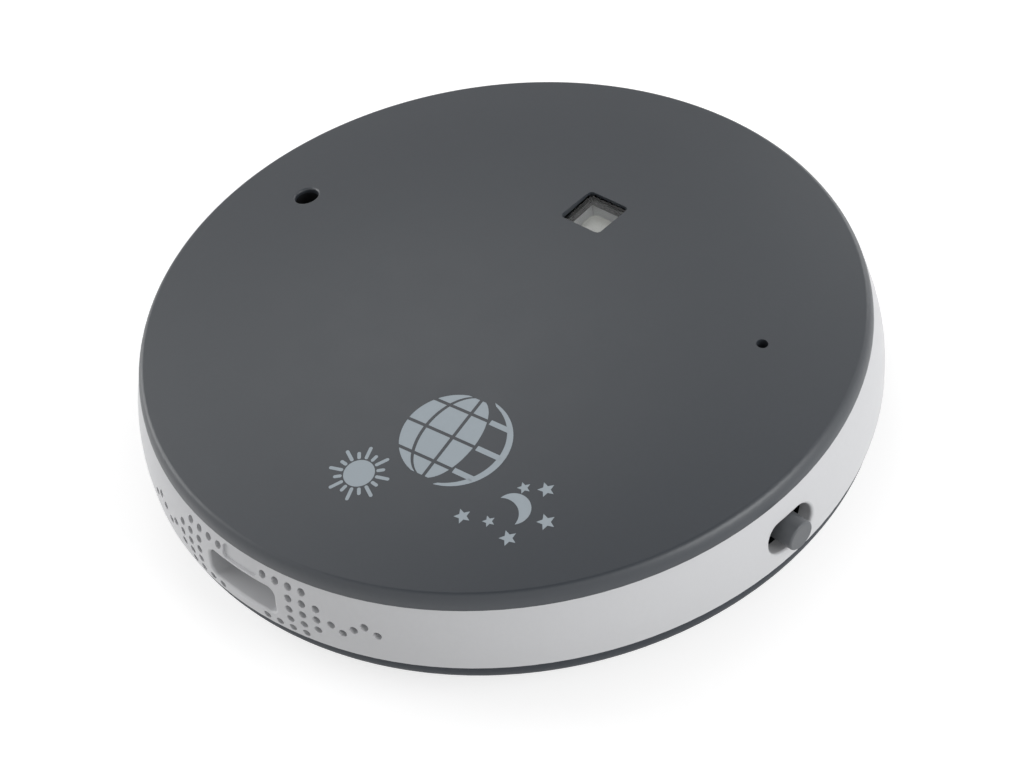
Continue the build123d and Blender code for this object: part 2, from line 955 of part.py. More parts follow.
def contacts(side):
    plates = []
    for row in (-1, 1):
        y = bay_y + row * cell_pitch / 2
        x = side * (bay_length / 2 - contact_thickness / 2)
        low, high = cell_z - contact_size / 2, cell_z + contact_size / 2
        plate = slab(contact_thickness, contact_size, low, high, x, y)
        tail = slab(contact_thickness, tail_width, high, board_low_z, x, y)
        bump = Cone(bump_radius, bump_tip_radius, contact_space - contact_thickness, align=MID)
        bump = Pos(side * (bay_length / 2 - contact_thickness), y, cell_z) * Rot(0, -side * 90, 0) * bump
        plates.append(plate + tail + bump)
    return plates


def battery_door():
    length = bay_length - 2 * door_clearance
    width = bay_width - 2 * door_clearance
    high = base_z + door_thickness
    front, rear = bay_y - width / 2, bay_y + width / 2
    plate = slab(length, width, base_z, high, y=bay_y)
    ear = disc(door_ear_radius, base_z, high, y=door_ear_y)
    neck = slab(
        2 * door_ear_radius,
        front + overrun - door_ear_y,
        base_z,
        high,
        y=(front + overrun + door_ear_y) / 2,
    )
    ribs = [
        slab(length / 2, door_rib_width, high, high + door_rib, y=bay_y + row * cell_pitch)
        for row in (-0.5, 0.5)
    ]
    tabs = [
        slab(
            door_tab_width,
            2 * door_tab_reach,
            high - door_tab_thickness,
            high,
            side * door_tab_x,
            rear,
        )
        for side in (-1, 1)
    ]
    hole = disc(door_screw_radius + screw_clearance, base_z - overrun, high + overrun, y=door_ear_y)
    head_top = base_z + door_screw_sink + door_screw_head
    head = disc(door_screw_head_radius + screw_clearance, 0, head_top, y=door_ear_y)
    return plate + [ear, neck] + ribs + tabs - hole - head


def door_screw():
    seat = base_z + door_screw_sink + door_screw_head
    tip = base_z + door_thickness + door_clearance + door_screw_bite
    return screw(0, door_ear_y, door_screw_radius, seat, tip, door_screw_head_radius, door_screw_head)


# Feet and case screws
def feet():
    pads = []
    for x, y in foot_places():
        pad = disc(foot_radius, 0, base_z + foot_sink, x, y)
        pads.append(fillet(pad.faces().sort_by(Axis.Z)[0].edges(), foot_edge))
    return pads


def case_screws():
    seat = floor_z + screw_seat
    tip = post_top_z + screw_bite
    return [
        screw(x, y, screw_radius, seat, tip, screw_head_radius, screw_head)
        for x, y in screw_places()
    ]


# Display
glass_low_z = floor_z
light_low_z = glass_low_z + glass_thickness
light_high_z = light_low_z + light_thickness
display_board_z = light_high_z + strip_height
display_board_top = display_board_z + display_board_thickness
display_board_y = (display_board_front + display_board_rear) / 2
display_board_width = display_board_rear - display_board_front


def display_window():
    return slab(
        lens_length, lens_width, base_z, base_z + display_lens, y=display_y, corner=lens_round
    )


def display_holder():
    outer_length = glass_length + 2 * holder_wall
    outer_width = glass_width + 2 * holder_wall
    block = slab(outer_length, outer_width, floor_z, display_board_z, y=display_y)
    return block - slab(
        glass_length + lens_clearance,
        glass_width + lens_clearance,
        floor_z - overrun,
        display_board_z + overrun,
        y=display_y,
    )


def contact_strips():
    return [
        slab(
            glass_length - 2 * strip_width,
            strip_width,
            light_high_z,
            display_board_z,
            y=display_y + side * (glass_width / 2 - strip_width),
        )
        for side in (-1, 1)
    ]


def display_board():
    board = slab(
        display_board_length,
        display_board_width,
        display_board_z,
        display_board_top,
        y=display_board_y,
    )
    holes = [
        disc(display_screw_radius + screw_clearance, 0, seam_z, x, y)
        for x, y in display_post_places()
    ]
    return (board & disc(board_radius - board_clearance - wall, 0, seam_z)) - holes


def display_screws():
    tip = display_board_z - display_screw_bite
    radius, head = display_screw_radius, display_screw_head
    return [
        screw(x, y, radius, display_board_top, tip, display_screw_head_radius, head)
        for x, y in display_post_places()
    ]


def board_link():
    # The header and the pins that join the display board to the main board.
    header = slab(
        link_length, link_width, display_board_top, display_board_top + link_width, link_x, link_y
    )
    pins = [
        slab(
            pin_size,
            pin_size,
            display_board_top + link_width,
            board_low_z,
            link_x + pin_pitch * (i - (pin_count - 1) / 2),
            link_y,
        )
        for i in range(pin_count)
    ]
    return header + pins


# Set keys
flange_z = floor_z + key_float
key_stem_top = flange_z + key_flange + key_bite + key_travel
key_switch_low = flange_z + key_flange + key_travel + key_float


def set_key(x, y):
    low = base_z + key_recess
    cap = disc(key_radius, low, flange_z + key_flange, x, y)
    cap = fillet(cap.faces().sort_by(Axis.Z)[0].edges(), key_edge)
    dish = Pos(x, y, low + key_dish - key_dish_radius) * Sphere(key_dish_radius)
    flange = disc(key_flange_radius, flange_z, flange_z + key_flange, x, y)
    stem = disc(key_stem_radius, flange_z + key_flange, key_stem_top, x, y)
    return cap - dish + flange + stem


def key_switches():
    bodies = []
    for x, y in key_places:
        body = slab(key_switch_size, key_switch_size, key_switch_low, display_board_z, x, y)
        bore = disc(
            key_stem_radius + key_stem_gap,
            key_switch_low - overrun,
            key_stem_top + key_travel + key_float,
            x,
            y,
        )
        bodies.append(body - bore)
    return bodies


# Shaker motor
can_back_x = can_front_x - can_length
weight_start = can_front_x + nose_length + weight_gap
weight_end = weight_start + weight_length
shaft_end = bearing_x + bearing_wall / 2
armature_x = (can_back_x + can_front_x) / 2


def motor_rod(radius, low, high):
    return rod(radius, low, high, motor_y, motor_z)


def motor_can():
    can = motor_rod(can_radius, can_back_x, can_front_x)
    can = fillet(can.faces().sort_by(Axis.X)[-1].edges(), can_wall)
    nose = motor_rod(nose_radius, can_front_x - can_wall, can_front_x + nose_length)
    hollow = motor_rod(can_radius - can_wall, can_back_x - overrun, can_front_x - can_wall)
    bore = motor_rod(bush_radius, can_back_x, can_front_x + nose_length + overrun)
    return can + nose - hollow - bore


def motor_bush():
    end = can_front_x + nose_length
    bush = motor_rod(bush_radius, end - bush_length, end)
    return bush - motor_rod(shaft_radius + running_clearance, end - 2 * bush_length, end + overrun)


def motor_cap():
    plate = motor_rod(can_radius, can_back_x - cap_thickness, can_back_x)
    spigot = motor_rod(can_radius - can_wall - thread_clearance, can_back_x, can_back_x + can_wall)
    bore = motor_rod(
        shaft_radius + running_clearance, can_back_x - cap_thickness / 2, can_back_x + cap_thickness
    )
    return plate + spigot - bore


def motor_magnets():
    start, end = can_back_x + 2 * can_wall, can_front_x - 2 * can_wall
    outer = can_radius - can_wall - thread_clearance
    full = motor_rod(outer, start, end) - motor_rod(outer - magnet_wall, start - overrun, end + overrun)
    length = end - start
    gap_high = 2 * outer * cos(radians(magnet_sweep / 2))
    gap = Pos(start, motor_y, motor_z) * Rot(0, 90, 0) * Box(
        gap_high, 2 * can_radius, 3 * length, align=(Align.CENTER, Align.CENTER, Align.CENTER)
    )
    return full - gap


def motor_armature():
    start, end = armature_x - armature_length / 2, armature_x + armature_length / 2
    core = motor_rod(armature_radius, start, end)
    hub = armature_radius * armature_hub_share
    cuts = []
    for i in range(armature_slots):
        cut = Pos(0, 0, hub) * Box(
            armature_length + overrun,
            armature_slot,
            armature_radius,
            align=(Align.CENTER, Align.CENTER, Align.MIN),
        )
        turn = Pos(armature_x, motor_y, motor_z) * Rot(360 / armature_slots * i, 0, 0)
        cuts.append(turn * cut)
    return core - cuts - motor_rod(shaft_radius, start - overrun, end + overrun)


def motor_shaft():
    return motor_rod(shaft_radius, can_back_x - cap_thickness / 2 + running_clearance, shaft_end)


def shaker_weight():
    half = motor_rod(weight_radius, weight_start, weight_end) & slab(
        weight_length, 2 * weight_radius, 0, motor_z, (weight_start + weight_end) / 2, motor_y
    )
    hub = motor_rod(weight_hub_radius, weight_start, weight_end)
    bore = motor_rod(shaft_radius, weight_start - overrun, weight_end + overrun)
    return half + hub - bore


def shaft_bush():
    start, end = bearing_x - bearing_wall / 2, bearing_x + bearing_wall / 2
    bush = motor_rod(end_bush_radius, start, end)
    return bush - motor_rod(shaft_radius + running_clearance, start - overrun, end + overrun)


def motor_sleeve():
    start, end = saddle_x - saddle_length / 2, saddle_x + saddle_length / 2
    return motor_rod(saddle_radius, start, end) - motor_rod(can_radius, start - overrun, end + overrun)


def motor_clamp():
    start, end = saddle_x - saddle_length / 2, saddle_x + saddle_length / 2
    arch = motor_rod(saddle_radius + clamp_wall, start, end)
    flange = slab(saddle_length, saddle_width, motor_z, motor_z + clamp_wall, saddle_x, motor_y)
    upper = slab(saddle_length, saddle_width, motor_z, seam_z + wall, saddle_x, motor_y)
    top = slab(clamp_length, clamp_length, clamp_top_z - clamp_wall, clamp_top_z, saddle_x, motor_y)
    hollow = motor_rod(saddle_radius, start - overrun, end + overrun)
    return (arch & upper) + flange + top - hollow


# Speaker
def speaker_box(growth, y_low, y_high):
    length, height = speaker_length + 2 * growth, speaker_height + 2 * growth
    face = RectangleRounded(length, height, speaker_wall)
    return Pos(0, y_high, outlet_z) * extrude(Plane.XZ * face, y_high - y_low)


cone_back_y = speaker_front_y + cone_dish + cone_thickness


def speaker_frame():
    body = speaker_box(0, speaker_front_y, speaker_back_y)
    room = speaker_box(-speaker_wall, speaker_front_y - overrun, speaker_back_y - speaker_wall)
    face = Rectangle(magnet_length, magnet_height)
    back = Pos(0, speaker_back_y + overrun, outlet_z) * extrude(Plane.XZ * face, speaker_depth)
    return body - room - back


def speaker_cone():
    plate = speaker_box(-speaker_wall, speaker_front_y + cone_dish, cone_back_y)
    face = RectangleRounded(magnet_length, magnet_height, speaker_wall)
    crown = Pos(0, speaker_front_y + cone_dish, outlet_z) * extrude(Plane.XZ * face, cone_dish / 2)
    return plate + crown


def speaker_magnet():
    face = Rectangle(magnet_length - 2 * thread_clearance, magnet_height - 2 * thread_clearance)
    return Pos(0, speaker_back_y, outlet_z) * extrude(Plane.XZ * face, magnet_depth)


def outlet_gasket():
    outer = outlet_prism(gasket_wall, outlet_back_y, speaker_front_y)
    return outer - outlet_prism(0, outlet_back_y - overrun, speaker_front_y + overrun)


# Leads inside the case
def motor_leads():
    start = can_back_x - cap_thickness
    end = motor_cut_x - lead_run
    return [
        lead(
            [
                (start, motor_y + side * lead_spread / 2, motor_z),
                (end, motor_y + side * lead_spread / 2, motor_z),
                (end, motor_y + side * lead_spread / 2, board_low_z),
            ]
        )
        for side in (-1, 1)
    ]


def speaker_leads():
    return [
        lead(
            [
                (side * lead_spread, speaker_back_y, outlet_z),
                (side * lead_spread, speaker_back_y + lead_run, outlet_z),
                (side * lead_spread, speaker_back_y + lead_run, board_low_z),
            ]
        )
        for side in (-1, 1)
    ]


os.makedirs("parts", exist_ok=True)
nodes = {
    "top_cover": top_cover(),
    "ring_housing": ring_housing(),
    "bottom_cover": bottom_cover(),
    "flash_lens": flash_lens(),
    "flash_reflector": flash_reflector(),
    "flash_led": flash_led(),
    "sensor_tube": sensor_tube(),
    "light_sensor": light_sensor(),
    "reset_switch": reset_switch(),
    "reset_plunger": reset_plunger(),
    "main_board": main_board(),
    "board_screws": board_screws(),
    "processor_chip": processor_chip(),
    "motor_driver": motor_driver(),
    "clock_crystal": clock_crystal(),
    "capacitors": capacitors(),
    "slide_knob": slide_knob(),
    "knob_shutter": knob_shutter(),
    "slide_switch_case": switch_case(),
    "slide_switch_base": switch_foot(),
    "cell_rear": cell(1),
    "cell_front": cell(-1),
    "contacts_left": contacts(-1),
    "contacts_right": contacts(1),
    "battery_door": battery_door(),
    "door_screw": door_screw(),
    "feet": feet(),
    "case_screws": case_screws(),
    "display_window": display_window(),
    "display_glass": slab(glass_length, glass_width, glass_low_z, light_low_z, y=display_y),
    "display_light": slab(glass_length, glass_width, light_low_z, light_high_z, y=display_y),
    "display_holder": display_holder(),
    "contact_strips": contact_strips(),
    "display_board": display_board(),
    "display_screws": display_screws(),
    "board_link": board_link(),
    "key_switches": key_switches(),
    "motor_can": motor_can(),
    "motor_bush": motor_bush(),
    "motor_cap": motor_cap(),
    "motor_magnets": motor_magnets(),
    "motor_armature": motor_armature(),
    "motor_shaft": motor_shaft(),
    "shaker_weight": shaker_weight(),
    "shaft_bush": shaft_bush(),
    "motor_sleeve": motor_sleeve(),
    "motor_clamp": motor_clamp(),
    "speaker_frame": speaker_frame(),
    "speaker_cone": speaker_cone(),
    "speaker_magnet": speaker_magnet(),
    "outlet_gasket": outlet_gasket(),
    "motor_leads": motor_leads(),
    "speaker_leads": speaker_leads(),
}
for number, (x, y) in enumerate(key_places, 1):
    nodes[f"set_key_{number}"] = set_key(x, y)
for name, shape in nodes.items():
    write(name, joined(shape) if isinstance(shape, list) else shape)
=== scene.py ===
import json
import math

import bmesh
import bpy
from mathutils import Matrix, Vector
from mathutils.bvhtree import BVHTree


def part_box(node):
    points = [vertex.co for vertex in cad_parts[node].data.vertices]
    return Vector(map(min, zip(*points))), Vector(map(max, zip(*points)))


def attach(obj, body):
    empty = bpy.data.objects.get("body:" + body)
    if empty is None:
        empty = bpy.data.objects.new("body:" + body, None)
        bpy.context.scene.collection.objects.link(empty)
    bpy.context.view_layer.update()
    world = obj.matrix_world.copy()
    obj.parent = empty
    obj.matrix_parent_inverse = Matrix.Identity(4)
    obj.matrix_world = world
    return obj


# Lengths are in metres unless a name or comment says millimetres.
MM = 0.001

# Camera, fitted to the photograph's outline and holes. Its lens and sensor are in millimetres.
CAMERA_PLACE = (0.12835, -0.11934, 0.18274)
CAMERA_BACK = (0.51226, -0.47602, 0.71484)
CAMERA_ROLL = math.radians(-9.35)
CAMERA_LENS = 64.34
CAMERA_SENSOR = 36.0
CAMERA_NEAR = 0.005

# The surround's level, and the shares of it that come from overhead and from the far side.
# Overhead and the wall's start are heights on a unit sphere. The far side's edges say how nearly
# a direction has to point there.
WORLD_LIGHT = 0.6
CEILING_LIGHT_SHARE = 0.04
CEILING_EDGE = 0.79
CEILING_FULL = 0.97
FAR_SIDE = (-0.73, 0.68, 0.0)
FAR_LIGHT_SHARE = 0.2
FAR_EDGE = 0.68
FAR_FULL = 0.9
BACKDROP_TOP = 0.08
WALL_START = 0.38

FLOOR_COLOUR = (0.62, 0.62, 0.62, 1.0)
FLOOR_GLOW = 0.64
FLOOR_SIZE = 6.0
FLOOR_DROP = 0.02 * MM

# Square soft lamps: name, place and power
LAMP_SIZE = 0.4
LAMP_AIM = (0.0, 0.0, 0.01)
LAMPS = (
    ("lamp_left", (-0.58, -0.2, 0.25), 1.7),
    ("lamp_right", (0.6, 0.12, 0.25), 2.2),
    ("lamp_back", (-0.05, 0.75, 0.18), 0.9),
    ("lamp_high", (-0.45, 0.3, 0.68), 0.65),
)

# Colours. A pair holds the two close tones of a surface's patches.
WHITE = (1.0, 1.0, 1.0, 1.0)
COVER_COLOUR = (0.037, 0.043, 0.052)
SIGN_INK = (0.36, 0.41, 0.45)
DARK_INK = (0.01, 0.012, 0.012)
DISPLAY_COVER_TONE = (0.94, 0.95, 0.95)
WINDOW_TONES = ((0.9, 0.91, 0.91), (0.87, 0.88, 0.88))
# The flash window's skirt colour is painted shade, standing for the shaded walls of the cover's
# opening
SKIRT_PAINTED_SHADE = (0.015, 0.016, 0.018)
MASK_TONES = ((0.008, 0.085, 0.03), (0.012, 0.11, 0.042))
TRACK_COLOUR = (0.03, 0.2, 0.075)
SLEEVE_TONES = ((0.012, 0.09, 0.24), (0.016, 0.11, 0.28))
SLEEVE_BAND_COLOUR = (0.62, 0.62, 0.6)
DISPLAY_TONES = ((0.3, 0.34, 0.29), (0.35, 0.39, 0.33))
PHOSPHOR_TONES = ((0.42, 0.42, 0.39), (0.48, 0.48, 0.45))

# Moulded plastic and metal: sizes of their patches and marks, and where those begin and end
PLASTIC_TONE_PATCH = 9 * MM
PLASTIC_GLOSS_PATCH = 4 * MM
SPECK_SIZE = 0.6 * MM
SPECK_EDGES = (0.4, 0.62)
STAIN_SIZE = 3 * MM
STAIN_EDGES = (0.35, 0.75)
STAIN_SHADE = 0.82
SCRATCH_SIZE = 0.25 * MM

# The flash window's clear plate, with a little added so that its underside counts as clear, and
# half of the height over which the clear part turns to the skirt. The skirt is painted black as
# painted shade for the shaded walls of the cover's opening.
WINDOW_PLATE = 0.6 * MM
WINDOW_BLUR = 0.02 * MM

# Copper tracks under the solder mask
TRACK_LENGTH = 3.4 * MM
TRACK_PITCH = 1.3 * MM
TRACK_WIDTH = 0.16 * MM
TRACK_BLUR = 0.2

# Where the cells' sleeves turn pale, along X
SLEEVE_BAND_EDGES = (11.9 * MM, 12.0 * MM)

# Printed signs: sizes and places on the dome in millimetres, seen from above
PRINT_LIFT = 0.012 * MM
PRINT_DEPTH = 0.05 * MM
PRINT_MESH = 0.9 * MM
SUN_PLACE = (6.4, -33.1)
SUN_DISC = 1.95
SUN_RAY_START = 2.12
SUN_RAY_LONG = 4.0
SUN_RAY_SHORT = 3.2
SUN_RAY_WIDTH = 0.45
SUN_RAYS = 16
SUN_TURN = 20.0
GLOBE_PLACE = (12.45, -22.7)
GLOBE_TURN = 7.0
GLOBE_RADIUS = 6.6
GLOBE_GAP = 0.44
GLOBE_PARALLELS = 0.61
GLOBE_MERIDIANS = (-1.0, -0.6, 0.0, 0.5)
GLOBE_SLIVER = 0.02
NIGHT_RADIUS = 6.95
NIGHT_SHIFT = 0.5
NIGHT_RIM = 0.85
NIGHT_TAPER = 0.7
NIGHT_BAR = 0.74
NIGHT_SPAN = 80.0
MOON_PLACE = (25.1, -26.5)
MOON_RADIUS = 2.18
MOON_HOLLOW = 2.37
MOON_SHIFT = 1.8
MOON_TURN = 63.0
STAR_PLACES = (
    (24.3, -23.45, 0.85),
    (26.6, -22.1, 1.08),
    (20.9, -30.7, 1.06),
    (23.9, -29.45, 0.8),
    (27.2, -29.9, 1.1),
    (29.4, -25.6, 1.16),
)
STAR_POINTS = 5
STAR_WAIST = 0.46
ARC_STEPS = 20
HOLLOW_STEPS = 12

# The display's digits, in millimetres. The colon's room and inset are shares of a digit's step.
DISPLAY_TIME = "07:30"
DIGIT_HEIGHT = 8.2
DIGIT_WIDTH = 4.4
DIGIT_BAR = 0.95
DIGIT_GAP = DIGIT_BAR * 0.12
DIGIT_STEP = 6.6
DIGIT_SLANT = 0.1
COLON_ROOM = 0.5
COLON_INSET = 0.1
COLON_DOT = DIGIT_BAR * 0.55
COLON_RISE = DIGIT_HEIGHT / 5
# The lit bars of the digits in the time shown
SEGMENTS = {"0": "abcdef", "3": "abgcd", "7": "abc"}

# The keys' signs. The size and the bar are in millimetres, and what follows are shares: of the
# bar where the name ends in BAR, and otherwise of the size.
MARK_SIZE = 1.25
MARK_BAR = 0.42
CLOCK_RING = 1.25
CLOCK_RING_BAR = 0.8
LONG_HAND = 0.85
SHORT_HAND = 0.6
SHORT_HAND_START_BAR = 0.45
HAND_BAR = 0.7
BELL_DOME = 0.8
BELL_SIDE = (0.85, 0.55)
BELL_BRIM = (1.15, 0.9)
BELL_STEPS = 14
CLAPPER_DROP = 1.12
CLAPPER_BAR = 0.55
# How far the bell's dome lies above the middle, in millimetres
BELL_RISE = 0.1

# Ink on flat faces
DIGIT_LIFT = 0.03 * MM
MARK_LIFT = DIGIT_LIFT / 2
INK_DEPTH = DIGIT_LIFT * 1.5
FLAT_MESH = 5 * MM

# A mix node's colour sockets. They share their names with its other sockets, so they go by number.
MIX_FIRST, MIX_SECOND, MIX_RESULT = 6, 7, 2

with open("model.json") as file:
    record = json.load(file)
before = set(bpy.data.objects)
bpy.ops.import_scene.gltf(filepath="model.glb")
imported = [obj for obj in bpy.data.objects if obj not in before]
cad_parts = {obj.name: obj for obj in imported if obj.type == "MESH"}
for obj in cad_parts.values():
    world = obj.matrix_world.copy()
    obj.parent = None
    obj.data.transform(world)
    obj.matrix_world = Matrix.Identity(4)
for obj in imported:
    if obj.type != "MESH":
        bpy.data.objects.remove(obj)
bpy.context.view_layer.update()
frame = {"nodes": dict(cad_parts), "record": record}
nodes = frame["nodes"]


# Node trees


def shader(name, **values):
    """A new material's tree and its shader. The values go onto the shader's own sockets."""
    material = bpy.data.materials.new(name)
    material.use_nodes = True
    tree = material.node_tree
    bsdf = tree.nodes["Principled BSDF"]
    for socket, value in values.items():
        bsdf.inputs[socket.replace("_", " ")].default_value = value
    return material, tree, bsdf


def node(tree, kind, **settings):
    made = tree.nodes.new(kind)
    for key, value in settings.items():
        setattr(made, key, value)
    return made


def place(tree, stretch=(1.0, 1.0, 1.0)):
    """The point on the object in its own frame, stretched along the axes."""
    source = node(tree, "ShaderNodeTexCoord")
    mapping = node(tree, "ShaderNodeMapping")
    mapping.inputs["Scale"].default_value = stretch
    tree.links.new(source.outputs["Object"], mapping.inputs["Vector"])
    return mapping.outputs["Vector"]


def along(tree, axis):
    """How far the point on the object lies along one axis."""
    split = node(tree, "ShaderNodeSeparateXYZ")
    tree.links.new(place(tree), split.inputs["Vector"])
    return split.outputs[axis]


def noise(tree, grain, detail=3.0, stretch=(1.0, 1.0, 1.0)):
    """Smooth noise whose patches are about grain metres across."""
    made = node(tree, "ShaderNodeTexNoise")
    made.inputs["Scale"].default_value = 1.0 / grain
    made.inputs["Detail"].default_value = detail
    tree.links.new(place(tree, stretch), made.inputs["Vector"])
    return made.outputs["Fac"]


def cells(tree, grain):
    """Rounded cells about grain metres across."""
    made = node(tree, "ShaderNodeTexVoronoi")
    made.inputs["Scale"].default_value = 1.0 / grain
    tree.links.new(place(tree), made.inputs["Vector"])
    return made.outputs["Distance"]


def between(tree, source, low, high):
    """Turns a value from 0 to 1 into one from low to high."""
    made = node(tree, "ShaderNodeMapRange")
    made.inputs["To Min"].default_value = low
    made.inputs["To Max"].default_value = high
    tree.links.new(source, made.inputs["Value"])
    return made.outputs["Result"]


def step(tree, source, low, high):
    """0 below low, 1 above high and smooth between them."""
    made = node(tree, "ShaderNodeMapRange", interpolation_type="SMOOTHSTEP")
    made.inputs["From Min"].default_value = low
    made.inputs["From Max"].default_value = high
    tree.links.new(source, made.inputs["Value"])
    return made.outputs["Result"]


def mixed(tree, factor, first, second):
    """A colour from first to second. Each is a colour or another node's output."""
    made = node(tree, "ShaderNodeMix", data_type="RGBA")
    tree.links.new(factor, made.inputs["Factor"])
    for number, value in ((MIX_FIRST, first), (MIX_SECOND, second)):
        if isinstance(value, tuple):
            made.inputs[number].default_value = (*value[:3], 1.0)
        else:
            tree.links.new(value, made.inputs[number])
    return made.outputs[MIX_RESULT]


def combined(tree, operation, first, second):
    """The two outputs joined by one sum, product or comparison."""
    made = node(tree, "ShaderNodeMath", operation=operation)
    tree.links.new(first, made.inputs[0])
    tree.links.new(second, made.inputs[1])
    return made.outputs[0]


def toned(colour, share):
    return tuple(min(1.0, part * share) for part in colour[:3])


def surfaced(tree, bsdf, colour, roughness, relief, height):
    """Links the surface's colour, its roughness and a relief of this height to the shader."""
    tree.links.new(colour, bsdf.inputs["Base Color"])
    tree.links.new(roughness, bsdf.inputs["Roughness"])
    bump = node(tree, "ShaderNodeBump")
    bump.inputs["Strength"].default_value = 1.0
    bump.inputs["Distance"].default_value = height
    tree.links.new(relief, bump.inputs["Height"])
    tree.links.new(bump.outputs["Normal"], bsdf.inputs["Normal"])


# Materials. Rough is the least and the greatest roughness.


def plastic(name, colour, rough, grain=0.35 * MM, height=0.004 * MM, drift=0.05, **values):
    """Moulded plastic: a little drift in tone, a fine moulded grain and uneven gloss."""
    material, tree, bsdf = shader(name, **values)
    patches = noise(tree, PLASTIC_TONE_PATCH)
    tone = mixed(tree, patches, toned(colour, 1 - drift), toned(colour, 1 + drift))
    speck = step(tree, noise(tree, SPECK_SIZE, detail=2.0), *SPECK_EDGES)
    fine = mixed(tree, speck, toned(colour, 1 - drift / 2), tone)
    gloss = between(tree, noise(tree, PLASTIC_GLOSS_PATCH), *rough)
    surfaced(tree, bsdf, fine, gloss, cells(tree, grain), height)
    return material


def metal(name, colour, rough=(0.22, 0.34), stretch=(1.0, 1.0, 1.0), height=0.002 * MM):
    """Plated or drawn metal: fine scratches along one direction and faint stains."""
    material, tree, bsdf = shader(name, Metallic=1.0)
    stain = step(tree, noise(tree, STAIN_SIZE), *STAIN_EDGES)
    tone = mixed(tree, stain, colour, toned(colour, STAIN_SHADE))
    scratch = noise(tree, SCRATCH_SIZE, detail=5.0, stretch=stretch)
    surfaced(tree, bsdf, tone, between(tree, scratch, *rough), scratch, height)
    return material


def display_cover(name, rough):
    """Clear moulded plastic with faint flow marks."""
    material, tree, bsdf = shader(name, IOR=1.49, Transmission_Weight=1.0)
    dimmer = toned(DISPLAY_COVER_TONE, 0.97)
    tone = mixed(tree, noise(tree, grain=2 * MM), DISPLAY_COVER_TONE, dimmer)
    gloss = between(tree, noise(tree, grain=0.8 * MM), *rough)
    surfaced(tree, bsdf, tone, gloss, noise(tree, grain=1.5 * MM), 0.004 * MM)
    return material


def flash_window(name, rough):
    """Clear coated plate on a skirt painted black: painted shade for the shaded walls of the
    cover's opening.
    """
    material, tree, bsdf = shader(name, IOR=1.2)
    skirt_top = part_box("flash_lens")[1].z - WINDOW_PLATE
    plate = step(tree, along(tree, "Z"), skirt_top - WINDOW_BLUR, skirt_top + WINDOW_BLUR)
    clear = mixed(tree, noise(tree, grain=2 * MM), *WINDOW_TONES)
    # The skirt's black is painted shade for the shaded walls of the cover's opening
    tone = mixed(tree, plate, SKIRT_PAINTED_SHADE, clear)
    gloss = between(tree, noise(tree, grain=0.8 * MM), *rough)
    surfaced(tree, bsdf, tone, gloss, noise(tree, grain=1.5 * MM), 0.002 * MM)
    tree.links.new(plate, bsdf.inputs["Transmission Weight"])
    return material


def circuit_board(name, rough):
    """Green solder mask over copper tracks."""
    material, tree, bsdf = shader(name, Specular_IOR_Level=0.5)
    tracks = node(tree, "ShaderNodeTexBrick", offset=0.35, squash=1.6)
    tracks.inputs["Scale"].default_value = 1.0
    tracks.inputs["Brick Width"].default_value = TRACK_LENGTH
    tracks.inputs["Row Height"].default_value = TRACK_PITCH
    tracks.inputs["Mortar Size"].default_value = TRACK_WIDTH
    tracks.inputs["Mortar Smooth"].default_value = TRACK_BLUR
    tree.links.new(place(tree), tracks.inputs["Vector"])
    mask = mixed(tree, noise(tree, grain=6 * MM), *MASK_TONES)
    tone = mixed(tree, tracks.outputs["Fac"], mask, TRACK_COLOUR)
    gloss = between(tree, noise(tree, grain=2 * MM), *rough)
    surfaced(tree, bsdf, tone, gloss, tracks.outputs["Fac"], 0.02 * MM)
    return material


def cell_sleeve(name, rough):
    """A plain sleeve that is pale towards one end."""
    material, tree, bsdf = shader(name, Coat_Weight=0.4)
    band = step(tree, along(tree, "X"), *SLEEVE_BAND_EDGES)
    body = mixed(tree, noise(tree, grain=5 * MM), *SLEEVE_TONES)
    tone = mixed(tree, band, body, SLEEVE_BAND_COLOUR)
    gloss = between(tree, noise(tree, grain=3 * MM), *rough)
    surfaced(tree, bsdf, tone, gloss, noise(tree, grain=1.2 * MM), 0.01 * MM)
    return material


def display_cell(name, rough):
    """The grey-green face of a reflective display, with its faint unlit texture."""
    material, tree, bsdf = shader(name, Specular_IOR_Level=0.5)
    tone = mixed(tree, noise(tree, grain=0.25 * MM, detail=1.0), *DISPLAY_TONES)
    gloss = between(tree, noise(tree, grain=5 * MM), *rough)
    surfaced(tree, bsdf, tone, gloss, noise(tree, grain=0.2 * MM), 0.001 * MM)
    return material


def emitter(name, rough):
    """Pale phosphor under clear resin."""
    material, tree, bsdf = shader(name, Coat_Weight=0.6)
    tone = mixed(tree, noise(tree, grain=0.5 * MM), *PHOSPHOR_TONES)
    gloss = between(tree, noise(tree, grain=0.4 * MM), *rough)
    surfaced(tree, bsdf, tone, gloss, noise(tree, grain=0.15 * MM), 0.004 * MM)
    return material


